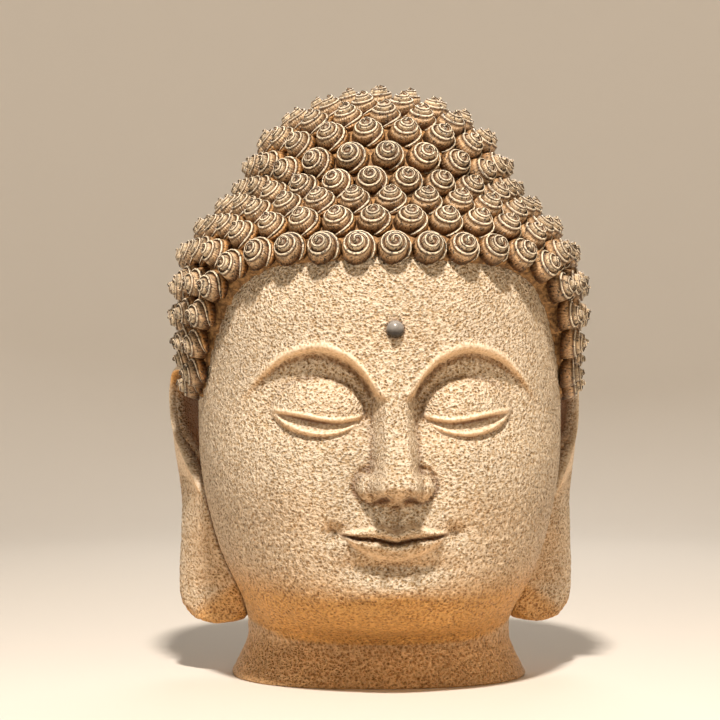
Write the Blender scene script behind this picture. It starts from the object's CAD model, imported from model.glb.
import math
import random

import bmesh
import bpy
import numpy as np
from mathutils import Matrix, Vector, noise
from mathutils.bvhtree import BVHTree


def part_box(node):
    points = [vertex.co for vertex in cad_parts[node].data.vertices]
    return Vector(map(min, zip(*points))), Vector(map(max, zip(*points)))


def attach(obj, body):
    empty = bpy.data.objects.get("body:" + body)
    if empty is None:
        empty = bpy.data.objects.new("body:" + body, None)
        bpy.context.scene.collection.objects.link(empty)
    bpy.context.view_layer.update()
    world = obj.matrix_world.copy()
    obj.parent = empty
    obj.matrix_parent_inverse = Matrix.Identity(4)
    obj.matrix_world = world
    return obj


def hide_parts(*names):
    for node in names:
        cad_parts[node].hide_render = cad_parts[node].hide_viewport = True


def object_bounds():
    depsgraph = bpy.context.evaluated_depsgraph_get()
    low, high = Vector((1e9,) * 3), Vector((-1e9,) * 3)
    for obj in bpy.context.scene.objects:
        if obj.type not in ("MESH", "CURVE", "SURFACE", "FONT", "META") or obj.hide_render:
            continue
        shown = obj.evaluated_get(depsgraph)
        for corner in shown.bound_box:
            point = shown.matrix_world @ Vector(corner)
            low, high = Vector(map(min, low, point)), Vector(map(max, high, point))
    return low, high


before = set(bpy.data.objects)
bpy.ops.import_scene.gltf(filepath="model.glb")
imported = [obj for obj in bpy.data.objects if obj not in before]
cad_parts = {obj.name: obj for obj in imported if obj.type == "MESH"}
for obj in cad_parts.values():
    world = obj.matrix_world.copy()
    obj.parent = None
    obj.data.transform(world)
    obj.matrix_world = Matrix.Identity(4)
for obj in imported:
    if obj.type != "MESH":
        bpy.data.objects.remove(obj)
cadLow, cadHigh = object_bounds()
unit = cadHigh.z / 500  # free form is written in shares of the statue's height, 500 in all
print("frame loaded, statue is", round(cadHigh.z * 1000), "mm tall")


def hexToLinear(code):
    channels = [int(code[i:i + 2], 16) / 255 for i in (1, 3, 5)]
    return tuple(c / 12.92 if c <= 0.04045 else ((c + 0.055) / 1.055) ** 2.4 for c in channels) + (1,)


def curveThrough(knots, values, at):
    # smooth curve through the knots that never swings past them
    knots, values = np.asarray(knots, float), np.asarray(values, float)
    at = np.clip(at, knots[0], knots[-1])
    step = np.diff(knots)
    slope = np.diff(values) / step
    tangent = np.zeros_like(values)
    same = slope[:-1] * slope[1:] > 0
    before, after = 2 * step[1:] + step[:-1], step[1:] + 2 * step[:-1]
    first, second = np.where(same, slope[:-1], 1), np.where(same, slope[1:], 1)
    tangent[1:-1] = np.where(same, (before + after) / (before / first + after / second), 0)
    tangent[0], tangent[-1] = slope[0], slope[-1]
    i = np.clip(np.searchsorted(knots, at, side="right") - 1, 0, len(knots) - 2)
    s = (at - knots[i]) / step[i]
    return ((2 * s**3 - 3 * s**2 + 1) * values[i] + (s**3 - 2 * s**2 + s) * step[i] * tangent[i]
            + (3 * s**2 - 2 * s**3) * values[i + 1] + (s**3 - s**2) * step[i] * tangent[i + 1])


def ramp(x, width):
    # 0 to 1 while x goes from -width to width
    s = np.clip(x / width / 2 + 0.5, 0, 1)
    return s * s * (3 - 2 * s)


def mound(x, z, centreX, centreZ, width, height):
    # 1 in the middle, falling away to nothing
    return np.exp(-((x - centreX) / width) ** 2 - ((z - centreZ) / height) ** 2)


def line(x, width):
    # 1 on the line, falling away on both sides
    return np.exp(-(x / width) ** 2)


def pointsOf(mesh):
    points = np.empty(len(mesh.vertices) * 3)
    mesh.vertices.foreach_get("co", points)
    return points.reshape(-1, 3)


def movePoints(mesh, points):
    mesh.vertices.foreach_set("co", np.ascontiguousarray(points * unit).ravel())
    mesh.update()


def normalsOf(mesh):
    normals = np.empty(len(mesh.vertices) * 3)
    mesh.vertices.foreach_get("normal", normals)
    return normals.reshape(-1, 3)


def paint(mesh, name, values):
    layer = mesh.attributes.new(name, "FLOAT", "POINT")
    layer.data.foreach_set("value", np.ascontiguousarray(values, np.float32))


def ballMesh(name, columns, rows):
    shape = bmesh.new()
    bmesh.ops.create_uvsphere(shape, u_segments=columns, v_segments=rows, radius=1)
    mesh = bpy.data.meshes.new(name)
    shape.to_mesh(mesh)
    shape.free()
    mesh.shade_smooth()
    return mesh


def addPiece(name, mesh, material, node):
    piece = bpy.data.objects.new(name, mesh)
    bpy.context.scene.collection.objects.link(piece)
    mesh.materials.append(material)
    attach(piece, "root")
    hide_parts(node)
    return piece


def addNode(tree, kind, settings=None, links=None):
    # settings: node properties or input values; links: input name or place -> output socket
    node = tree.nodes.new(kind)
    for key, value in (settings or {}).items():
        if isinstance(key, int) or key in node.inputs:
            node.inputs[key].default_value = value
        else:
            setattr(node, key, value)
    for key, source in (links or {}).items():
        tree.links.new(source, node.inputs[key])
    return node


def startMaterial(name, roughness, ior):
    material = bpy.data.materials.new(name)
    material.use_nodes = True
    tree = material.node_tree
    shader = tree.nodes["Principled BSDF"]
    shader.inputs["Roughness"].default_value = roughness
    shader.inputs["IOR"].default_value = ior
    return material, tree, shader


def rampStops(node, stops):
    # stops: place on the ramp, and a colour code or a grey value
    elements = node.color_ramp.elements
    while len(elements) < len(stops):
        elements.new(0.5)
    for element, (place, colour) in zip(elements, stops):
        element.position = place
        element.color = hexToLinear(colour) if isinstance(colour, str) else (colour, colour, colour, 1)


stoneLook = {
    "body": "#CFB38C",        # warm beige sandstone
    "pale": "#F0E0C8",        # bruised tops between the pits
    "pit": "#967040",         # dust left in the pits
    "deep": "#6C431C",        # brown stain in the deepest folds
    "ochre": "#FFC455",       # tint where the stone faces down and is never rubbed clean
    "pitMm": 2.2,             # from pit to pit, the teeth of a bush hammer
    "lumpMm": 2.5,            # lumps that break up the ridges
    "grainMm": 0.9,           # sand grains, drawn coarser than real ones so that they show
    "reliefMm": 3.8,          # drawn deeper than real pits, so that they show in soft light
    "roughness": 0.42,
    "rubbedRoughness": 0.38,
    "rubbedRelief": 0.2,      # share of the relief left where the stone is rubbed
    "rubbedPale": 0.4,        # how far rubbed stone turns pale
    "ochreShare": 0.85,       # how strongly the ochre tint shows
    "strayMm": 2.2,           # the blows stray this far from an even spacing
    "strayOverMm": 9.0,       # and drift back over this length
    "bedMm": 60.0,            # broad darker and lighter beds
}


def bushHammeredStone():
    # sandstone struck with a bush hammer: close, uneven pits with bright bruised ridges between them;
    # lips, lids and brow edges were rubbed smooth afterwards
    material, tree, shader = startMaterial("bushHammeredSandstone", stoneLook["roughness"], 1.52)
    place = addNode(tree, "ShaderNodeTexCoord").outputs["Object"]
    rubbed = addNode(tree, "ShaderNodeAttribute", {"attribute_name": "rubbed"}).outputs["Fac"]
    hollow = addNode(tree, "ShaderNodeAttribute", {"attribute_name": "hollow"}).outputs["Fac"]
    sheltered = addNode(tree, "ShaderNodeAttribute", {"attribute_name": "sheltered"}).outputs["Fac"]
    stray = addNode(tree, "ShaderNodeTexNoise", {"Scale": 1000 / stoneLook["strayOverMm"], "Detail": 2.0},
                    {"Vector": place})
    shift = addNode(tree, "ShaderNodeMix", {"data_type": "VECTOR", 0: stoneLook["strayMm"] / 1000},
                    {4: place, 5: stray.outputs["Color"]})
    pits = addNode(tree, "ShaderNodeTexVoronoi",
                   {"feature": "F1", "Scale": 1000 / stoneLook["pitMm"]},
                   {"Vector": shift.outputs[1]})
    chips = addNode(tree, "ShaderNodeTexNoise",
                    {"Scale": 1000 / stoneLook["lumpMm"], "Detail": 2.5, "Roughness": 0.55},
                    {"Vector": place})
    grain = addNode(tree, "ShaderNodeTexNoise",
                    {"Scale": 1000 / stoneLook["grainMm"], "Detail": 2.0}, {"Vector": place})
    ridges = addNode(tree, "ShaderNodeMapRange", {1: 0.0, 2: 0.62}, {0: pits.outputs["Distance"]})
    broken = addNode(tree, "ShaderNodeMapRange", {1: 0.3, 2: 0.7}, {0: chips.outputs[0]})
    struck = addNode(tree, "ShaderNodeMix", {"data_type": "FLOAT", 0: 0.5},
                     {2: ridges.outputs[0], 3: broken.outputs[0]})
    height = addNode(tree, "ShaderNodeMath", {"operation": "MULTIPLY_ADD", 1: 0.12},
                     {0: grain.outputs[0], 2: struck.outputs[0]})
    calm = addNode(tree, "ShaderNodeMapRange", {1: 0.0, 2: 1.0, 3: 1.0, 4: stoneLook["rubbedRelief"]},
                   {0: rubbed})
    bump = addNode(tree, "ShaderNodeBump", {"Distance": stoneLook["reliefMm"] / 1000},
                   {"Strength": calm.outputs[0], "Height": height.outputs[0]})
    tree.links.new(bump.outputs[0], shader.inputs["Normal"])

    tone = addNode(tree, "ShaderNodeValToRGB", None, {0: struck.outputs[0]})
    rampStops(tone, [(0.18, stoneLook["pit"]), (0.48, stoneLook["body"]), (0.78, stoneLook["pale"])])
    beds = addNode(tree, "ShaderNodeTexNoise", {"Scale": 1000 / stoneLook["bedMm"], "Detail": 3.0},
                   {"Vector": place})
    bedTone = addNode(tree, "ShaderNodeMapRange", {1: 0.3, 2: 0.7, 3: 0.88, 4: 1.05},
                      {0: beds.outputs[0]})
    veined = addNode(tree, "ShaderNodeMix", {"data_type": "RGBA", "blend_type": "MULTIPLY", 0: 1.0},
                     {6: tone.outputs[0], 7: bedTone.outputs[0]})
    worn = addNode(tree, "ShaderNodeMath", {"operation": "MULTIPLY", 1: stoneLook["rubbedPale"]},
                   {0: rubbed})
    smoothTone = addNode(tree, "ShaderNodeMix",
                         {"data_type": "RGBA", 7: hexToLinear(stoneLook["pale"])},
                         {0: worn.outputs[0], 6: veined.outputs[2]})
    under = addNode(tree, "ShaderNodeMath", {"operation": "MULTIPLY", 1: stoneLook["ochreShare"]},
                    {0: sheltered})
    warmer = addNode(tree, "ShaderNodeMix",
                     {"data_type": "RGBA", "blend_type": "MULTIPLY", 7: hexToLinear(stoneLook["ochre"])},
                     {0: under.outputs[0], 6: smoothTone.outputs[2]})
    stained = addNode(tree, "ShaderNodeMix",
                      {"data_type": "RGBA", 7: hexToLinear(stoneLook["deep"])},
                      {0: hollow, 6: warmer.outputs[2]})
    tree.links.new(stained.outputs[2], shader.inputs["Base Color"])
    gloss = addNode(tree, "ShaderNodeMapRange",
                    {1: 0.0, 2: 1.0, 3: stoneLook["roughness"], 4: stoneLook["rubbedRoughness"]},
                    {0: rubbed})
    tree.links.new(gloss.outputs[0], shader.inputs["Roughness"])
    return material


curlLook = {
    "rim": "#FAEBCF",         # rubbed edges of the spirals
    "ledge": "#F6E6CA",       # the step behind each rim
    "wall": "#EDD4AE",        # the steep cut below each rim
    "foot": "#6E4520",        # stain held low in the cut walls
    "lowLedge": "#CDA06A",    # the lowest turn is rubbed least
    "lowWall": "#A06C34",
    "lowFoot": "#5E3A18",
    "deep": "#24160C",        # stain in the groove inside each rim
    "strokeMm": 1.7,          # chisel strokes down the walls
    "chipMm": 2.3,            # crumbs knocked out by the chisel
    "wearMm": 5.0,            # patches that hands rubbed more and less
    "reliefMm": 0.9,
    "crumbRelief": 2.0,       # crumbs, strokes and grooves against each other
    "strokeRelief": 0.3,
    "grooveRelief": 1.5,
    "stainedTo": 18.0,        # along the spiral, where the low turn's stain begins to fade
    "rubbedFrom": 105.0,      # and where the turns are rubbed bright
}


def chiselledCurlStone():
    # the same stone cut with a narrow chisel: stroke marks down each wall, edges rubbed bright,
    # stain left in the grooves
    material, tree, shader = startMaterial("chiselledSandstone", 0.3, 1.52)
    place = addNode(tree, "ShaderNodeTexCoord").outputs["Object"]
    ribbon = addNode(tree, "ShaderNodeUVMap", {"uv_map": "ribbon"}).outputs[0]
    parts = addNode(tree, "ShaderNodeSeparateXYZ", None, {0: ribbon})
    along, across = parts.outputs[0], parts.outputs[1]
    tone = addNode(tree, "ShaderNodeAttribute", {"attribute_name": "curlTone"}).outputs["Fac"]
    chips = addNode(tree, "ShaderNodeTexNoise",
                    {"Scale": 1000 / curlLook["chipMm"], "Detail": 4.0, "Roughness": 0.7},
                    {"Vector": place})
    crumbs = addNode(tree, "ShaderNodeMath", {"operation": "MULTIPLY", 1: curlLook["crumbRelief"]},
                     {0: chips.outputs[0]})
    turn = addNode(tree, "ShaderNodeMath", {"operation": "MULTIPLY", 1: 2 * math.pi / curlLook["strokeMm"]},
                   {0: along})
    jitter = addNode(tree, "ShaderNodeMath", {"operation": "MULTIPLY_ADD", 1: 5.0},
                     {0: chips.outputs[0], 2: turn.outputs[0]})
    strokes = addNode(tree, "ShaderNodeMath", {"operation": "SINE"}, {0: jitter.outputs[0]})
    onWall = addNode(tree, "ShaderNodeMapRange", {1: 0.30, 2: 0.22, 3: 0.0, 4: 1.0}, {0: across})
    cutWall = addNode(tree, "ShaderNodeMath", {"operation": "MULTIPLY"},
                      {0: strokes.outputs[0], 1: onWall.outputs[0]})
    cutHeight = addNode(tree, "ShaderNodeMath", {"operation": "MULTIPLY_ADD", 1: curlLook["strokeRelief"]},
                        {0: cutWall.outputs[0], 2: crumbs.outputs[0]})
    grooves = addNode(tree, "ShaderNodeValToRGB", None, {0: across})
    rampStops(grooves, [(0.0, 0.0), (0.2, 0.8), (0.25, 0.15), (0.31, 1.0),
                        (0.66, 1.0), (0.76, 0.1), (0.86, 0.7), (1.0, 0.0)])
    ringed = addNode(tree, "ShaderNodeMath", {"operation": "MULTIPLY_ADD", 1: curlLook["grooveRelief"]},
                     {0: grooves.outputs[0], 2: cutHeight.outputs[0]})
    bump = addNode(tree, "ShaderNodeBump", {"Distance": curlLook["reliefMm"] / 1000, "Strength": 0.9},
                   {"Height": ringed.outputs[0]})
    tree.links.new(bump.outputs[0], shader.inputs["Normal"])
    turns = []
    for ledge, wall, foot in (("lowLedge", "lowWall", "lowFoot"), ("ledge", "wall", "foot")):
        bands = addNode(tree, "ShaderNodeValToRGB", None, {0: across})
        rampStops(bands, [(stop, curlLook[band]) for stop, band in (
            (0.05, foot), (0.17, wall), (0.25, ledge), (0.3, foot), (0.35, "rim"), (0.64, "rim"),
            (0.7, "deep"), (0.8, foot), (0.88, ledge), (0.97, foot))])
        turns.append(bands.outputs[0])
    wound = addNode(tree, "ShaderNodeMapRange", {1: curlLook["stainedTo"], 2: curlLook["rubbedFrom"]},
                    {0: along})
    bands = addNode(tree, "ShaderNodeMix", {"data_type": "RGBA"},
                    {0: wound.outputs[0], 6: turns[0], 7: turns[1]})
    patch = addNode(tree, "ShaderNodeMapRange", {1: 0.39, 2: 0.47, 3: 0.14, 4: 1.0},
                    {0: chips.outputs[0]})
    wear = addNode(tree, "ShaderNodeTexNoise", {"Scale": 1000 / curlLook["wearMm"], "Detail": 2.0},
                   {"Vector": place})
    uneven = addNode(tree, "ShaderNodeMapRange", {1: 0.38, 2: 0.6, 3: 0.66, 4: 1.08},
                     {0: wear.outputs[0]})
    shade = addNode(tree, "ShaderNodeMath", {"operation": "MULTIPLY"},
                    {0: patch.outputs[0], 1: tone})
    worn = addNode(tree, "ShaderNodeMath", {"operation": "MULTIPLY"},
                   {0: shade.outputs[0], 1: uneven.outputs[0]})
    coloured = addNode(tree, "ShaderNodeMix", {"data_type": "RGBA", "blend_type": "MULTIPLY", 0: 1.0},
                       {6: bands.outputs[2], 7: worn.outputs[0]})
    tree.links.new(coloured.outputs[2], shader.inputs["Base Color"])
    return material


groundLook = {
    "body": "#B18652",
    "pit": "#684824",
    "chipMm": 3.0,            # from chip to chip
    "reliefMm": 1.0,
}


def stainedHairGround():
    # the cut ground between the curls, never rubbed, so it stays rough and ochre
    material, tree, shader = startMaterial("stainedSandstone", 0.75, 1.52)
    place = addNode(tree, "ShaderNodeTexCoord").outputs["Object"]
    chips = addNode(tree, "ShaderNodeTexNoise", {"Scale": 1000 / groundLook["chipMm"], "Detail": 4.0},
                    {"Vector": place})
    tone = addNode(tree, "ShaderNodeValToRGB", None, {0: chips.outputs[0]})
    rampStops(tone, [(0.4, groundLook["pit"]), (0.65, groundLook["body"])])
    bump = addNode(tree, "ShaderNodeBump", {"Distance": groundLook["reliefMm"] / 1000, "Strength": 0.8},
                   {"Height": chips.outputs[0]})
    tree.links.new(tone.outputs[0], shader.inputs["Base Color"])
    tree.links.new(bump.outputs[0], shader.inputs["Normal"])
    return material


beadLook = {
    "light": "#98948F",
    "dark": "#7C7976",
    "stain": "#281F18",       # held where the ball turns under
    "cloudMm": 3.0,           # soft mottling, drawn coarser than real so that it shows
}


def polishedBeadStone():
    # fine grey stone turned to a ball and polished to a satin, with stain held on its underside
    material, tree, shader = startMaterial("polishedGreyStone", 0.26, 1.54)
    sheltered = addNode(tree, "ShaderNodeAttribute", {"attribute_name": "sheltered"}).outputs["Fac"]
    place = addNode(tree, "ShaderNodeTexCoord").outputs["Object"]
    cloud = addNode(tree, "ShaderNodeTexNoise", {"Scale": 1000 / beadLook["cloudMm"], "Detail": 3.0},
                    {"Vector": place})
    tone = addNode(tree, "ShaderNodeValToRGB", None, {0: cloud.outputs[0]})
    rampStops(tone, [(0.3, beadLook["dark"]), (0.7, beadLook["light"])])
    stained = addNode(tree, "ShaderNodeMix", {"data_type": "RGBA", 7: hexToLinear(beadLook["stain"])},
                      {0: sheltered, 6: tone.outputs[0]})
    tree.links.new(stained.outputs[2], shader.inputs["Base Color"])
    return material


skinStone = bushHammeredStone()
curlStone = chiselledCurlStone()
groundStone = stainedHairGround()
beadStone = polishedBeadStone()
print("materials ready")


# front, side and back height; front depth, half width, back depth; squareness, from the foot up
headSections = np.array([
    (0, 0, 0, 2, 2, 2, 2.2),
    (0, 0, 0, 114, 123, 117.2, 2.35),
    (1.5, 1.5, 1.5, 115, 124, 118, 2.35),
    (8, 8, 8, 112.5, 121, 116, 2.3),
    (20, 20, 20, 107, 115.2, 112, 2.25),
    (32, 32, 36, 103.5, 111, 108.5, 2.2),
    (41, 44, 60, 112, 110.8, 108, 2.15),
    (47, 56, 85, 130, 113.5, 110, 2.15),
    (54, 68, 105, 149, 117, 115, 2.15),
    (64, 82, 122, 162, 123, 123, 2.2),
    (80, 99, 140, 170, 131, 134, 2.25),
    (100, 117, 158, 173, 138, 144, 2.3),
    (124, 137, 175, 175, 143.5, 151, 2.32),
    (153, 162, 195, 176, 149, 158, 2.32),
    (190, 196, 222, 175, 152.5, 164, 2.3),
    (228, 231, 248, 173, 153, 168, 2.25),
    (262, 264, 275, 173, 152, 169, 2.2),
    (298, 299, 305, 172.5, 150, 168, 2.15),
    (335, 335, 337, 166, 145, 163, 2.1),
    (365, 365, 366, 152, 134, 150, 2.05),
    (388, 388, 388, 128, 114, 127, 2.0),
    (402, 402, 402, 95, 86, 95, 2.0),
    (408, 408, 408, 50, 46, 50, 2.0),
    (410, 410, 410, 2, 2, 2, 2.0),
], float)

facePlan = {
    "chin": 62.0,
    "third": 91.0,            # hairline, brow, nose base and chin stand a third apart
    "eyeApart": 59.0,         # from the middle line, a fifth of the face's width
    "eyeHalf": 33.0,
    "mouthHalf": 43.0,
    "edge": 1.5,              # softness of lid and lip edges
    "columns": 360,
    "rows": 274,
    "markMm": 3.6,            # tool marks that are deep enough for the mesh
    "markDepthMm": 1.1,
}
noseBase = facePlan["chin"] + facePlan["third"]
mouthLevel = noseBase - facePlan["third"] / 3


def headForm(azimuth, level):
    # plain skin at an azimuth (0 in front) and a level from 0 at the foot to 1 on top
    places = np.arange(len(headSections))
    at = level * places[-1]
    zFront, zSide, zBack, front, side, back, square = (
        curveThrough(places, headSections[:, i], at) for i in range(7))
    ahead = np.cos(azimuth)
    depth = np.where(ahead > 0, front, back)
    reach = np.abs(np.sin(azimuth) / side) ** square + np.abs(ahead / depth) ** square
    radius = reach ** (-1 / square)
    blend = ahead**2 * (3 - 2 * np.abs(ahead))
    z = zSide + np.where(ahead > 0, zFront - zSide, zBack - zSide) * blend
    return radius * np.sin(azimuth), -radius * ahead, z


def browRelief(x, z):
    arch = curveThrough([0, 14, 22, 38, 60, 82, 100, 116, 130],
                        [232, 238, 250, 265, 272, 267, 254, 236, 222], x)
    over = z - arch
    depth = curveThrough([0, 12, 22, 40, 60, 85, 108, 125], [0, 7, 15.5, 14, 11, 8, 3, 0], x)
    socket = depth * ramp(-over - 3, 5) * (1 - ramp(204 - z, 16))
    fade = ramp(x - 12, 8) * (1 - ramp(x - 104, 16))
    rim = np.where(over > 0, line(over, 8), line(over, 2.6)) * fade
    rubbed = ramp(over + 3.5, 1.5) * (1 - ramp(over - 4.5, 2.0)) * fade
    return 3.2 * rim - socket, rubbed


def eyeRelief(x, z):
    edge = facePlan["edge"]
    across = (x - facePlan["eyeApart"]) / facePlan["eyeHalf"]
    slant = 219.5 + 2.5 * across
    upper = slant - 3.5 * (1 - across**2) + 1.2 * np.sin(math.pi * across)
    lower = slant - 12.5 * np.clip(1 - across**2, 0, 1) ** 0.8
    rounding = 0.86 * across**2 + ((z - 224) / np.where(z > 224, 25, 21)) ** 2
    relief = 13.5 * np.clip(1 - rounding, 0, 1) ** 0.62
    within = ramp(1 - np.abs(across), 0.10)
    slit = ramp(upper - z, edge) * ramp(z - lower, edge) * within
    relief -= 4.6 * slit * (0.45 + 0.55 * np.clip((z - lower) / 8, 0, 1))
    upperRim = line(z - upper - 1.8, 1.9) * ramp(1.06 - np.abs(across), 0.12)
    lowerRim = line(z - lower + 1.8, 2.2) * ramp(0.98 - np.abs(across), 0.2)
    relief += 1.5 * upperRim + 1.5 * lowerRim
    rubbed = np.clip(upperRim * 1.6 + 0.5 * slit + lowerRim, 0, 1)
    return relief, rubbed, slit * np.clip((z - lower) / 9, 0, 1)


def noseRelief(x, z):
    levels = [140, 149, 153, 157, 162, 168, 185, 205, 225, 240, 256, 272]
    ridge = curveThrough(levels, [0, 1.5, 12, 25, 32.5, 34.5, 30, 22.5, 15, 9, 3, 0], z)
    ridgeHalf = curveThrough(levels, [8, 9, 10, 10.5, 10.5, 10, 7.5, 7, 7.5, 9, 12, 18], z)
    footHalf = curveThrough(levels, [17, 18, 19, 20, 21.5, 22, 20, 19, 18, 19, 24, 32], z)
    s = np.clip((x - ridgeHalf) / (footHalf - ridgeHalf), 0, 1)
    relief = ridge * (1 - s * s * (3 - 2 * s)) + 2.5 * mound(x, z, 0, 166, 12, 9)
    wing = np.clip(1 - ((x - 19.5) / 10.5) ** 2 - ((z - 164.0) / 11.5) ** 2, 0, 1) ** 0.6
    relief += 14 * wing * ramp(x - 9, 7)
    ring = np.hypot((x - 19.5) / 13.5, (z - 165) / 14.5)
    crease = line(ring - 1, 0.12) * ramp(x - 19, 6) * ramp(z - 157, 6)
    nostril = mound(x, z, 10.5, 154.6, 5.2, 3.0)
    return relief - 2.2 * crease - 9 * nostril, np.clip(nostril * 1.3, 0, 1)


def mouthRelief(x, z):
    edge = facePlan["edge"]
    half = facePlan["mouthHalf"]
    share = np.clip(x / half, 0, 1.2)
    parting = mouthLevel + 5.5 * share**2.2 - 1.6 * line(x, 12) + 1.2 * line(x - 14, 10)
    upper = curveThrough([0, 9, 20, 32, 43, 50], [8.8, 11.6, 9.2, 5.6, 0.8, 0.01], x)
    lower = curveThrough([0, 10, 20, 32, 41, 50], [13.5, 13.5, 11.5, 6.5, 0.6, 0.01], x)
    across = 1 - ramp(x - half + 1, 3)
    upperLip = ramp(parting + upper - z, edge) * ramp(z - parting, edge) * across
    lowerLip = ramp(parting - z, edge) * ramp(z - parting + lower, edge) * across
    above = np.clip((z - parting) / upper, 0, 1)
    below = np.clip((parting - z) / lower, 0, 1)
    fade = np.sqrt(np.clip(1 - (x / (half + 3)) ** 2, 0, 1))
    swellAbove = np.clip(np.sin(math.pi * (1 - above) ** 0.8), 0, 1) ** 0.9
    swellBelow = np.clip(np.sin(math.pi * below**0.75), 0, 1) ** 0.9
    relief = 7 * mound(x, z, 0, 128, 46, 26)
    relief += upperLip * fade * (2.6 + 4.2 * swellAbove)
    relief += lowerLip * fade * (2.2 + 5.2 * swellBelow)
    parted = line(z - parting, 1.5) * across
    relief -= 3 * parted
    relief -= 5.5 * mound(x, z, half + 4, mouthLevel + 6, 7.5, 6.5)
    relief -= 1.5 * mound(x, z, half + 12, mouthLevel + 10, 12, 18)
    relief -= 2.4 * line(x, 5) * ramp(z - 133, 6) * (1 - ramp(z - 152, 5))
    relief += 1.2 * line(x - 8.5, 4) * ramp(z - 134, 6) * (1 - ramp(z - 150, 6))
    relief -= 5.5 * mound(x, z, 0, mouthLevel - 20.5, 30, 6.5)
    border = (line(z - parting - upper, 1.6) + line(z - parting + lower, 1.8)) * across
    return relief, np.clip(border, 0, 1), parted


def faceRelief(x, z):
    # how far the face stands out, where it is rubbed smooth and where stain gathers
    x = np.abs(x)
    brow, browRubbed = browRelief(x, z)
    eye, eyeRubbed, lidGap = eyeRelief(x, z)
    nose, nostril = noseRelief(x, z)
    mouth, lipRubbed, parted = mouthRelief(x, z)
    relief = brow + eye + nose + mouth
    relief += 2.5 * mound(x, z, 0, 300, 70, 45) + 6 * mound(x, z, 78, 168, 36, 34)
    relief += 7.5 * mound(x, z, 0, 82, 30, 17)
    rubbed = np.maximum.reduce([browRubbed, eyeRubbed, lipRubbed])
    return relief, rubbed, np.clip(0.7 * lidGap + nostril + 0.8 * parted, 0, 1)


def crowd(edges, weights):
    # even steps turned into steps that crowd where the weight is high
    x = np.linspace(edges[0], edges[-1], 4001)
    total = np.concatenate([[0], np.cumsum(np.interp(x[1:], edges, weights))])
    return x, total / total[-1]


def strikeStone(mesh, share):
    # the deeper tool marks: each point is pushed in towards the middle of its own mark
    rim = 0.7  # a mark reaches this far from its middle, in shares of their spacing
    marks = np.array([noise.voronoi(vert.co * 1000 / facePlan["markMm"])[0][0] for vert in mesh.vertices])
    depth = facePlan["markDepthMm"] * (np.clip(marks, 0, rim) - rim) / rim * share
    movePoints(mesh, pointsOf(mesh) / unit + normalsOf(mesh) * depth[:, None])


def cavityOf(mesh, rounds, full):
    # how far each point lies below its smoothed surroundings, 0 to 1 at the full depth
    shape = bmesh.new()
    shape.from_mesh(mesh)
    for i in range(rounds):
        bmesh.ops.smooth_vert(shape, verts=shape.verts[:], factor=0.5,
                              use_axis_x=True, use_axis_y=True, use_axis_z=True)
    smooth = np.array([vert.co for vert in shape.verts])
    shape.free()
    below = ((smooth - pointsOf(mesh)) * normalsOf(mesh)).sum(1)
    return np.clip(below / full, 0, 1)


def makeSkin():
    mesh = ballMesh("skin", facePlan["columns"], facePlan["rows"])
    ball = pointsOf(mesh)
    turn = (np.arctan2(ball[:, 0], -ball[:, 1]) / math.pi + 1) / 2
    rise = np.arccos(np.clip(-ball[:, 2], -1, 1)) / math.pi
    # most columns run down the front, most rows cross the mouth, the eyes and the brow
    azimuths, shares = crowd([-math.pi, -1.5, -1.3, -0.75, -0.65, 0.65, 0.75, 1.3, 1.5, math.pi],
                             [0.14, 0.14, 0.8, 0.8, 1, 1, 0.8, 0.8, 0.14, 0.14])
    azimuth = np.interp(turn, shares, azimuths)
    last = len(headSections) - 1
    levels, shares = crowd([0, 1, 2, 3, 5, 6, 8, 10, 11, 12, 14, 14.4, 15, 15.3, 17, 18, 18.5, last],
                           [3, 2, 4, 6, 7, 8, 12, 12, 18, 30, 30, 46, 46, 24, 21, 18, 4, 1])
    x, y, z = headForm(azimuth, np.interp(rise, shares, levels) / last)
    relief, rubbed, stained = faceRelief(x, z)
    facing = ramp(np.cos(azimuth) - 0.25, 0.25) * ramp(z - 50, 20)
    rubbed = rubbed * facing
    movePoints(mesh, np.stack([x, y - relief * facing, z], -1))
    # stone that faces down holds its ochre, less so from the mouth up, and so does the foot
    facesDown = ramp(-normalsOf(mesh)[:, 2] - 0.22, 0.35) * (1 - 0.55 * ramp(z - 92, 18))
    paint(mesh, "sheltered", np.maximum(facesDown, 0.7 * ramp(50 - z, 25)))
    strikeStone(mesh, (1 - rubbed) * ramp(z - 4, 3))
    paint(mesh, "rubbed", rubbed)
    paint(mesh, "hollow", np.clip(stained * facing + 0.8 * cavityOf(mesh, 10, 0.0016), 0, 1))
    return addPiece("stoneHead", mesh, skinStone, "head")


skin = makeSkin()
print("head:", len(skin.data.polygons), "faces")


def stainWhereTheyMeet(piece, other, reach):
    # stain gathers where one carved form runs into another
    tree = BVHTree.FromPolygons([vert.co for vert in other.vertices],
                                [face.vertices for face in other.polygons])
    hollow = piece.attributes["hollow"].data
    for vert, stain in zip(piece.vertices, hollow):
        near = tree.find_nearest(vert.co, 2 * reach)[3]
        if near is not None:
            stain.value = max(stain.value, 0.9 * (1 - float(ramp(near - reach, reach))))


# height, front root and outer rim in plan, from the top down
earSections = np.array([
    (264, 155, 4, 163, 21),
    (260, 150, -12, 169, 30),
    (250, 146, -22, 172.5, 37),
    (235, 145, -26, 174, 39),
    (215, 145, -27, 173, 37),
    (190, 144, -26, 170, 32),
    (165, 142, -24, 166, 26),
    (140, 136, -22, 163, 23),
    (115, 127, -21, 164, 24),
    (90, 118, -20, 166.5, 26),
    (72, 111, -18, 167, 26),
    (59, 110, -15, 165, 24),
    (49.5, 113, -11, 158.5, 20),
    (43.5, 120, -6, 150, 14),
    (41, 131, 0, 142, 7),
], float)

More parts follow.
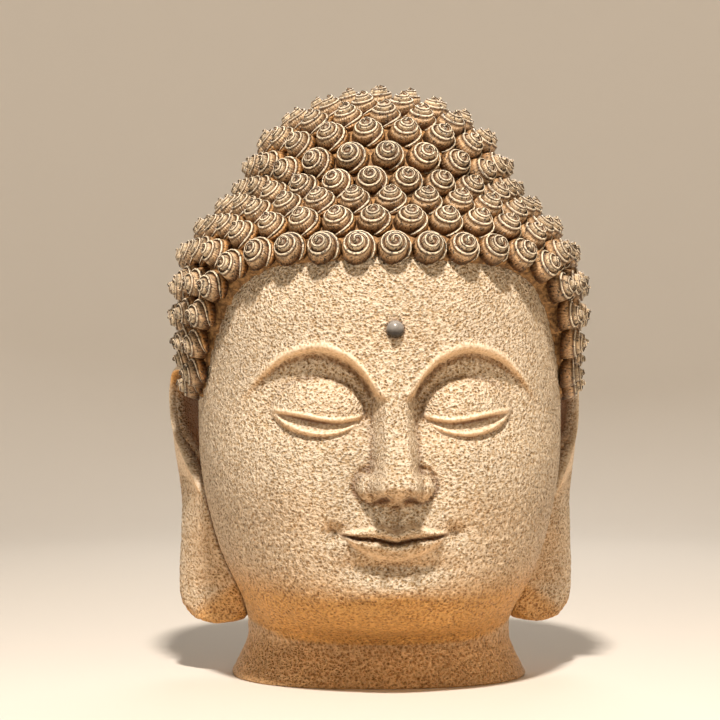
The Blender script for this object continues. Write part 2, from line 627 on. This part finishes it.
earPlan = {
    "innerTop": 255.0,        # height of the hollow's top
    "turnOver": 6.0,          # softness of the band's turn over the top
    "hollowDepth": 9.0,
    "foldHeight": 6.5,
    "thickness": 17.0,
    "lobeThickness": 25.0,
    "columns": 110,
    "rows": 190,
    "stainReach": 0.0016,     # metres from the skin
}


def earRelief(rim, z):
    # a smooth band that runs over the top and widens down to a notch, a hollow inside it, a fold in
    # the hollow
    band = curveThrough([148, 152, 160, 172, 184, 196, 212, 230, 262],
                        [52, 47, 44, 38, 29, 20, 11, 6.5, 5], z)
    turnOver = earPlan["turnOver"]
    beyond = -turnOver * np.log(np.exp(-np.clip(rim - band, -60, 60) / turnOver)
                                + np.exp(-np.clip(earPlan["innerTop"] - z, -60, 120) / turnOver))
    inside = ramp(beyond, 1.6) * ramp(z - 152, 2.5)
    hollow = (earPlan["hollowDepth"] + 3 * mound(rim, z, 46, 190, 14, 22)) * inside
    fold = earPlan["foldHeight"] * line(beyond - 9, 3.2) * ramp(z - 186, 14)
    lip = 1.2 * line(beyond + 2, 2.5) * ramp(z - 156, 6)
    onBand = (1 - ramp(beyond, 1.6)) * ramp(z - 180 + 0.6 * rim, 4)
    return fold * inside + lip - hollow, onBand, inside * (1 - 0.6 * line(beyond - 9, 3.2))


def makeEar(side):
    mesh = ballMesh("ear", earPlan["columns"], earPlan["rows"])
    ball = pointsOf(mesh)
    around = np.arctan2(ball[:, 1], ball[:, 0])
    fall = np.arccos(np.clip(ball[:, 2], -1, 1)) / math.pi
    down = np.linspace(0, 1, len(earSections))
    z, rootX, rootY, rimX, rimY = (curveThrough(down, earSections[:, i], fall) for i in range(5))
    along = np.hypot(rimX - rootX, rimY - rootY)
    dirX, dirY = (rimX - rootX) / along, (rimY - rootY) / along
    ends = np.clip(np.sin(math.pi * fall) * 3.2, 0, 1) ** 0.5
    cosPart, sinPart = np.cos(around), np.sin(around)
    u = np.sign(cosPart) * np.abs(cosPart) ** 0.7 * along / 2 * np.clip(ends, 0.02, 1)
    thin, thick = earPlan["thickness"], earPlan["lobeThickness"]
    v = np.sign(sinPart) * np.abs(sinPart) ** 0.8 * (thick + (thin - thick) * ramp(z - 140, 25)) / 2 * ends
    rim = along / 2 - u
    relief, onBand, inside = earRelief(rim, z)
    facing = ramp(-v, 2.5) * ends
    v = np.where(v < 0, v - relief * facing, v)
    x = (rootX + rimX) / 2 + dirX * u - dirY * v
    y = (rootY + rimY) / 2 + dirY * u + dirX * v
    movePoints(mesh, np.stack([x * side, y, z], -1))
    if side < 0:
        mesh.flip_normals()
    underLobe = ramp(50 + 0.85 * (160 - x) - z, 11)
    paint(mesh, "sheltered", np.maximum(ramp(-normalsOf(mesh)[:, 2] - 0.22, 0.35), 0.85 * underLobe))
    strikeStone(mesh, 1 - np.maximum(onBand, inside))
    paint(mesh, "rubbed", onBand)
    paint(mesh, "hollow", inside * facing)
    return addPiece("earRight" if side < 0 else "earLeft", mesh, skinStone, "head")


ears = [makeEar(side) for side in (-1, 1)]
for ear in ears:
    stainWhereTheyMeet(ear.data, skin.data, earPlan["stainReach"])
    stainWhereTheyMeet(skin.data, ear.data, earPlan["stainReach"])
print("ears:", sum(len(ear.data.polygons) for ear in ears), "faces")


# height, half width, depth in front and behind, squareness, from the crown down
hairSections = np.array([
    (483, 0.5, 0.5, 0.5, 2),
    (478.5, 31, 32, 32, 2),
    (471.5, 50, 52, 52, 2),
    (464, 65.5, 68, 68, 2),
    (455, 79, 83, 83, 2),
    (444, 90.5, 95, 95, 2),
    (433, 98.5, 103, 103, 2),
    (422, 103, 109, 109, 2),
    (411, 107.5, 114, 114, 2),
    (402, 112.5, 119, 119, 2),
    (393, 121, 128, 128, 2),
    (384, 131.5, 139, 139, 2.02),
    (373, 142, 151, 151, 2.05),
    (361, 151.5, 161, 161, 2.1),
    (348, 158.5, 168, 169, 2.13),
    (335, 162, 171.5, 173, 2.16),
    (316, 163.5, 173, 175.5, 2.2),
    (297, 163, 174, 176.5, 2.23),
    (275, 160.5, 174, 176, 2.27),
    (250, 157.5, 174, 174, 2.3),
    (222, 158, 174, 171, 2.32),
    (195, 157.5, 174, 166, 2.35),
    (175, 155, 174, 160, 2.35),
    (158, 151, 172, 153.5, 2.33),
    (140, 145, 170, 145, 2.3),
    (122, 137, 165, 134, 2.25),
    (105, 126, 155, 123, 2.2),
    (92, 100, 120, 100, 2.1),
    (86, 60, 70, 60, 2),
    (84, 0.5, 0.5, 0.5, 2),
], float)

# middle line of the edge row of curls: degrees from the face, height
hairEdge = np.array([
    (0, 350.5), (30, 350), (38, 347), (46, 340), (53, 327), (58.5, 308), (64, 284),
    (69, 260), (73.5, 238), (79, 259), (86, 277), (95, 284), (105, 276), (112, 252),
    (115, 222), (117, 195), (119.5, 168), (125, 143), (136, 127), (150, 120),
    (165, 117), (180, 116),
], float)

hairPlan = {
    "centre": 300.0,
    "pitch": 28.0,            # from curl to curl
    "rows": 9,                # from the crown to the forehead row
    "frontLevel": 350.5,
    "crowding": 1.035,        # a row holds this many more than the pitch asks for
    "clearOfEdge": 0.74,      # share of a pitch kept free beside the edge row
    "pushReach": 1.25,        # curls nearer than this many pitches push each other
    "pushStep": 0.12,
    "pushRounds": 80,
}
hairCentre = np.array([0, 0, hairPlan["centre"]])


def hairTable():
    # distance from the hair's centre to its surface, over azimuth and polar angle
    places = np.arange(len(hairSections))
    z, side, front, back, square = (
        curveThrough(places, hairSections[:, i], np.linspace(0, places[-1], 900)) for i in range(5))
    polar = np.linspace(0, math.pi, 361)
    rows = []
    for azimuth in np.linspace(-math.pi, math.pi, 181):
        depth = front if math.cos(azimuth) > 0 else back
        reach = (abs(math.sin(azimuth)) / side) ** square + (abs(math.cos(azimuth)) / depth) ** square
        r = reach ** (-1 / square)
        rows.append(np.interp(polar, np.arctan2(r, z - hairPlan["centre"]),
                              np.hypot(r, z - hairPlan["centre"])))
    return np.array(rows)


hairReach = hairTable()


def hairRadius(direction):
    length = np.linalg.norm(direction, axis=-1)
    azimuth = np.arctan2(direction[:, 0], -direction[:, 1])
    polar = np.arccos(np.clip(direction[:, 2] / length, -1, 1))
    a = (azimuth + math.pi) / (2 * math.pi) * (hairReach.shape[0] - 1)
    p = polar / math.pi * (hairReach.shape[1] - 1)
    a0 = np.clip(a.astype(int), 0, hairReach.shape[0] - 2)
    p0 = np.clip(p.astype(int), 0, hairReach.shape[1] - 2)
    fa, fp = a - a0, p - p0
    low = hairReach[a0, p0] * (1 - fp) + hairReach[a0, p0 + 1] * fp
    high = hairReach[a0 + 1, p0] * (1 - fp) + hairReach[a0 + 1, p0 + 1] * fp
    return low * (1 - fa) + high * fa


def ontoHair(points):
    direction = points - hairCentre
    direction = direction / np.linalg.norm(direction, axis=1, keepdims=True)
    return direction * hairRadius(direction)[:, None] + hairCentre


def hairNormals(points):
    step = 4.0
    reach = []
    for axis in np.eye(3):
        ahead, behind = points + axis * step - hairCentre, points - axis * step - hairCentre
        reach.append(np.linalg.norm(ahead, axis=1) - hairRadius(ahead)
                     - np.linalg.norm(behind, axis=1) + hairRadius(behind))
    normal = np.stack(reach, -1)
    return normal / np.linalg.norm(normal, axis=1, keepdims=True)


def placeOnHair(azimuth, z):
    # points of the hair's surface at a height: the guessed radius is corrected round by round
    guess = 150.0 * np.ones_like(azimuth)
    for i in range(12):
        points = np.stack([guess * np.sin(azimuth), -guess * np.cos(azimuth), z], -1)
        landed = ontoHair(points)
        guess = np.hypot(landed[:, 0], landed[:, 1]) - (landed[:, 2] - z) * 0.2
    return ontoHair(np.stack([guess * np.sin(azimuth), -guess * np.cos(azimuth), z], -1))


def evenly(points, gap):
    length = np.concatenate([[0], np.cumsum(np.linalg.norm(np.diff(points, axis=0), axis=1))])
    at = np.linspace(0, length[-1], round(length[-1] / gap) + 1)
    return np.stack([np.interp(at, length, points[:, i]) for i in range(3)], -1)


def edgeLine(gap):
    # points at an even gap along the edge row, both sides, as one closed loop
    at = np.linspace(0, 1, 400)
    share = np.linspace(0, 1, len(hairEdge))
    azimuth = np.radians(curveThrough(share, hairEdge[:, 0], at))
    half = ontoHair(evenly(placeOnHair(azimuth, curveThrough(share, hairEdge[:, 1], at)), gap))
    half[0, 0] = half[-1, 0] = 0
    return np.concatenate([half, half[-2:0:-1] * (-1, 1, 1)])


def insideEdge(points):
    azimuth = np.degrees(np.abs(np.arctan2(points[:, 0], -points[:, 1])))
    corners = [tuple(corner) for corner in hairEdge] + [(180.01, 116), (180.01, 600), (-0.01, 600)]
    within = np.zeros(len(points), bool)
    for (a0, z0), (a1, z1) in zip(corners, corners[1:] + corners[:1]):
        crossing = (z0 > points[:, 2]) != (z1 > points[:, 2])
        runsAt = a0 + (points[:, 2] - z0) / (z1 - z0 + 1e-9) * (a1 - a0)
        within ^= crossing & (azimuth < runsAt)
    return within


def curlRows():
    # staggered rows from the crown down
    pitch = hairPlan["pitch"]
    polar = np.linspace(0, 2.6, 1500)
    side = np.stack([np.sin(polar), 0 * polar, np.cos(polar)], -1)
    profile = side * hairRadius(side)[:, None] + hairCentre
    length = np.concatenate([[0], np.cumsum(np.linalg.norm(np.diff(profile, axis=0), axis=1))])
    rowGap = np.interp(hairPlan["frontLevel"], profile[::-1, 2], length[::-1]) / hairPlan["rows"]
    rows = [np.array([[0, 0, hairSections[0, 0]]])]
    row = 1
    while row * rowGap < length[-1]:
        x = np.interp(row * rowGap, length, profile[:, 0])
        z = np.interp(row * rowGap, length, profile[:, 2])
        count = max(6, round(2 * math.pi * x * hairPlan["crowding"] / pitch))
        shift = 0.5 if row % 2 == 0 else 0.0
        rows.append(placeOnHair((np.arange(count) + shift) * 2 * math.pi / count, np.full(count, z)))
        row += 1
    return np.concatenate(rows)


def curlPlaces():
    pitch = hairPlan["pitch"]
    edge = edgeLine(pitch)
    inner = curlRows()
    inner = inner[insideEdge(inner)]
    fromEdge = np.linalg.norm(inner[:, None] - edge[None], axis=2).min(1)
    inner = inner[fromEdge > pitch * hairPlan["clearOfEdge"]]
    reach = pitch * hairPlan["pushReach"]
    for i in range(hairPlan["pushRounds"]):  # let the curls push each other into even gaps
        everyone = np.concatenate([edge, inner])
        gap = inner[:, None] - everyone[None]
        apart = np.linalg.norm(gap, axis=2)
        near = (apart > 1e-6) & (apart < reach)
        push = np.where(near, (1 - apart / reach) / np.maximum(apart, 1e-6), 0)
        inner = ontoHair(inner + (gap * push[..., None]).sum(1) * pitch * hairPlan["pushStep"])
    tails = [curlPlan["tail"]] * len(edge) + [curlPlan["innerTail"]] * len(inner)
    return np.concatenate([edge, inner]), np.array(tails)


groundPlan = {
    "columns": 120,
    "rows": 90,
    "sunk": 3.0,              # below the hair's surface
    "border": 10.0,           # how far it runs on beyond the edge row
    "dive": 16.0,             # how much deeper it goes past the border
    "farFrom": 40.0,          # from here it lies well inside the head
    "farSunk": 30.0,
}


def makeHairGround():
    # cut ground under the curls, sinking into the head beyond the edge row
    mesh = ballMesh("hairGround", groundPlan["columns"], groundPlan["rows"])
    points = ontoHair(pointsOf(mesh) * 100 + hairCentre)
    edge = edgeLine(4.0)
    beyond = np.linalg.norm(points[:, None] - edge[None], axis=2).min(1)
    beyond = np.where(insideEdge(points), 0, beyond)
    sunk = groundPlan["sunk"] + groundPlan["dive"] * ramp(beyond - groundPlan["border"], 4)
    sunk = np.where(beyond > groundPlan["farFrom"], groundPlan["farSunk"], sunk)
    movePoints(mesh, points - hairNormals(points) * sunk[:, None])
    return addPiece("hairGround", mesh, groundStone, "head")


curlPlan = {
    "outer": 14.2,            # radius of the spiral where it leaves the ground
    "foot": 15.2,             # radius of the curl's own foot
    "turnGap": 4.4,           # the spiral closes in by this much each turn
    "turns": 2.75,
    "steps": 8,               # corners in a turn
    "height": 16.6,           # of the spiral's middle
    "tailHeight": 1.5,        # of its rim where it leaves the ground
    "tail": -62.0,            # the edge row's spirals start between four and five o'clock
    "innerTail": -110.0,      # and the others near the bottom
    "lean": 2.2,              # of the cut wall
    "rimWidth": 1.05,
    "ledgeDrop": 1.6,         # from the rim to the ledge's back
    "sunk": 4.5,              # how deep the foot goes into the ground
    "rounding": 1.08,         # makes up for what the subdivision takes off the rings
    "wobble": 0.12,           # turn from curl to curl, in radians
    "sizes": (-0.03, 0.02),
    "tones": (0.86, 1.08),
    "seed": 7,
}


def ribbonPoint(step, strip):
    # one corner of the carved spiral; strip 0 is the wall's foot, 1 and 2 the rim, 3 the ledge's back
    plan = curlPlan
    last = round(plan["turns"] * plan["steps"])
    if strip == 0 and step >= plan["steps"]:
        return ribbonPoint(step - plan["steps"], 3)
    turn = step / plan["steps"]
    angle = 2 * math.pi * turn
    radius = plan["outer"] - plan["turnGap"] * turn
    height = plan["tailHeight"] + (plan["height"] - plan["tailHeight"]) * (step / last) ** 0.65
    if strip == 0:
        radius, height = plan["foot"], -plan["sunk"]
    elif strip == 1:
        radius, height = radius + 0.2, height - 0.3
    elif strip == 2:
        radius = radius + 0.2 - plan["rimWidth"]
    else:
        radius, height = max(radius - plan["turnGap"] + plan["lean"], 0.6), height - plan["ledgeDrop"]
    if step == 0:
        height = -plan["sunk"]
    reach = radius * plan["rounding"]
    return Vector((reach * math.cos(angle), reach * math.sin(angle), height))


def makeCurlMesh():
    # a ribbon of three strips wound up into a stepped spiral, its turns merged and its ends closed
    steps = round(curlPlan["turns"] * curlPlan["steps"])
    shape = bmesh.new()
    bmesh.ops.create_grid(shape, x_segments=steps, y_segments=3, size=1)
    ribbon = shape.loops.layers.uv.new("ribbon")
    crease = shape.edges.layers.float.new("crease_edge")
    gap = 2 * math.pi * (curlPlan["outer"] - curlPlan["turnGap"] * curlPlan["turns"] / 2) / curlPlan["steps"]
    where = {vert: (round((vert.co.x + 1) / 2 * steps), round((vert.co.y + 1) / 2 * 3))
             for vert in shape.verts}
    for face in shape.faces:
        for loop in face.loops:
            step, strip = where[loop.vert]
            loop[ribbon].uv = (gap * step, strip / 3)
    for edge in shape.edges:
        strips = [where[vert][1] for vert in edge.verts]
        if strips[0] == strips[1]:
            edge[crease] = (0.5, 0.8, 0.7, 0.5)[strips[0]]
    for vert, (step, strip) in where.items():
        vert.co = ribbonPoint(step, strip)
    bmesh.ops.remove_doubles(shape, verts=shape.verts[:], dist=0.01)
    rims = [edge for edge in shape.edges if edge.is_boundary]
    filled = bmesh.ops.holes_fill(shape, edges=rims, sides=0)["faces"]
    tip = [face for face in filled if face.calc_center_median().z > 5]
    bmesh.ops.poke(shape, faces=tip)
    bmesh.ops.recalc_face_normals(shape, faces=shape.faces[:])
    bmesh.ops.scale(shape, vec=(unit, unit, unit), verts=shape.verts[:])
    mesh = bpy.data.meshes.new("curl")
    shape.to_mesh(mesh)
    shape.free()
    return mesh


def makeCurls(name, places, tails, oneCurl):
    chance = random.Random(curlPlan["seed"] + len(places))
    normals = hairNormals(places)
    shape = bmesh.new()
    tones = []
    for place, normal, tail in zip(places, normals, tails):
        before = len(shape.verts)
        shape.from_mesh(oneCurl)
        shape.verts.ensure_lookup_table()
        added = shape.verts[before:]
        out = Vector(normal)
        up = Vector((0, 0, 1)) if abs(out.z) < 0.97 else Vector((0, 1, 0))
        right = up.cross(out).normalized()
        frameTurn = Matrix((right, out.cross(right), out)).transposed().to_4x4()
        twist = Matrix.Rotation(math.radians(tail) + chance.uniform(-1, 1) * curlPlan["wobble"], 4, "Z")
        size = Matrix.Scale(1 + chance.uniform(*curlPlan["sizes"]), 4)
        bmesh.ops.transform(shape, verts=added,
                            matrix=Matrix.Translation(Vector(place) * unit) @ frameTurn @ twist @ size)
        tones += [chance.uniform(*curlPlan["tones"])] * len(added)
    mesh = bpy.data.meshes.new(name)
    shape.to_mesh(mesh)
    shape.free()
    paint(mesh, "curlTone", tones)
    mesh.shade_smooth()
    piece = addPiece(name, mesh, curlStone, "head")
    rounding = piece.modifiers.new("rounding", "SUBSURF")
    rounding.levels = rounding.render_levels = 1


makeHairGround()
places, tails = curlPlaces()
oneCurl = makeCurlMesh()
inFront = places[:, 1] < 0
makeCurls("curlsFront", places[inFront], tails[inFront], oneCurl)
makeCurls("curlsBack", places[~inFront], tails[~inFront], oneCurl)
print("hair:", len(places), "curls of", len(oneCurl.polygons), "faces")


beadPlan = {
    "columns": 40,
    "rows": 24,
    "stainReach": 0.0009,     # metres from the skin
}


def makeBead():
    low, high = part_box("urna_bead")
    mesh = ballMesh("bead", beadPlan["columns"], beadPlan["rows"])
    radius = (high.z - low.z) / 2
    paint(mesh, "sheltered", ramp(-pointsOf(mesh)[:, 2] - 0.08, 0.4))  # the ball's underside
    mesh.transform(Matrix.Translation((low + high) / 2) @ Matrix.Scale(radius, 4))
    return addPiece("foreheadBead", mesh, beadStone, "urna_bead")


bead = makeBead()
stainWhereTheyMeet(skin.data, bead.data, beadPlan["stainReach"])
print("bead:", len(bead.data.polygons), "faces")


stagePlan = {
    "radius": 2.8,
    "sweep": 1.1,             # radius of the curve between floor and wall
    "height": 2.6,
    "floor": "#DFDAD2",
    "air": "#E9CCA4",         # dim warm light from all sides
    "airStrength": 0.13,
    "aim": (0, 0, 0.27),      # what the lights point at
    "lights": [               # name, place, width, watts, colour
        ("keyLight", (-0.1, -1.15, 1.97), 0.16, 68, "#FFF3E6"),
        ("fillLight", (1.45, -1.2, 0.95), 0.8, 3, "#FFCF90"),
        ("backLight", (0.3, 1.7, 1.3), 1.0, 10, "#FFFFFF"),
    ],
}


def makeStage():
    # pale floor that sweeps up into a wall all round
    flat, sweep = stagePlan["radius"] - stagePlan["sweep"], stagePlan["sweep"]
    profile = [(0.0, 0.0), (flat, 0.0)]
    profile += [(flat + sweep * math.sin(a), sweep * (1 - math.cos(a)))
                for a in np.radians(np.linspace(9, 90, 10))]
    profile.append((stagePlan["radius"], stagePlan["height"]))
    shape = bmesh.new()
    verts = [shape.verts.new((reach, 0, z)) for reach, z in profile]
    edges = [shape.edges.new(pair) for pair in zip(verts, verts[1:])]
    bmesh.ops.spin(shape, geom=verts + edges, cent=(0, 0, 0), axis=(0, 0, 1), angle=2 * math.pi,
                   steps=64, use_merge=True)
    bmesh.ops.remove_doubles(shape, verts=shape.verts[:], dist=0.0001)
    bmesh.ops.recalc_face_normals(shape, faces=shape.faces[:])
    mesh = bpy.data.meshes.new("floor")
    shape.to_mesh(mesh)
    shape.free()
    mesh.shade_smooth()
    floor = bpy.data.objects.new("floor", mesh)
    bpy.context.scene.collection.objects.link(floor)
    material, tree, shader = startMaterial("paleFloor", 0.8, 1.45)
    shader.inputs["Base Color"].default_value = hexToLinear(stagePlan["floor"])
    mesh.materials.append(material)


def addLight(name, place, size, power, colour):
    light = bpy.data.lights.new(name, "AREA")
    light.shape = "DISK"
    light.size = size
    light.energy = power
    light.color = hexToLinear(colour)[:3]
    lamp = bpy.data.objects.new(name, light)
    lamp.location = place
    lamp.rotation_euler = (Vector(stagePlan["aim"]) - Vector(place)).to_track_quat("-Z", "Y").to_euler()
    bpy.context.scene.collection.objects.link(lamp)


cameraPlan = {
    "distance": 1.86,
    "azimuth": -4.3,          # degrees round from the face
    "height": 0.243,
    "lens": 109.1,
    "riseShare": 25.6 / 720,  # how far the view is shifted up, in shares of its width
    "sideShare": -18.3 / 720,
}


def makeCamera():
    camera = bpy.data.cameras.new("camera")
    camera.lens = cameraPlan["lens"]
    camera.shift_x = cameraPlan["sideShare"]
    camera.shift_y = cameraPlan["riseShare"]
    holder = bpy.data.objects.new("camera", camera)
    turn = math.radians(cameraPlan["azimuth"])
    holder.location = (math.sin(turn) * cameraPlan["distance"], -math.cos(turn) * cameraPlan["distance"],
                       cameraPlan["height"])
    holder.rotation_euler = (math.radians(90), 0, turn)
    bpy.context.scene.collection.objects.link(holder)
    bpy.context.scene.camera = holder


def makeWorld():
    world = bpy.data.worlds.new("studio")
    world.use_nodes = True
    background = world.node_tree.nodes["Background"]
    background.inputs[0].default_value = hexToLinear(stagePlan["air"])
    background.inputs[1].default_value = stagePlan["airStrength"]
    bpy.context.scene.world = world
    bpy.context.scene.view_settings.view_transform = "Standard"  # colours come out as their codes say


makeStage()
makeWorld()
for lightPlan in stagePlan["lights"]:
    addLight(*lightPlan)
makeCamera()
print("stage, lights and camera ready")

print("cad box", [round(v, 4) for v in (*cadLow, *cadHigh)])
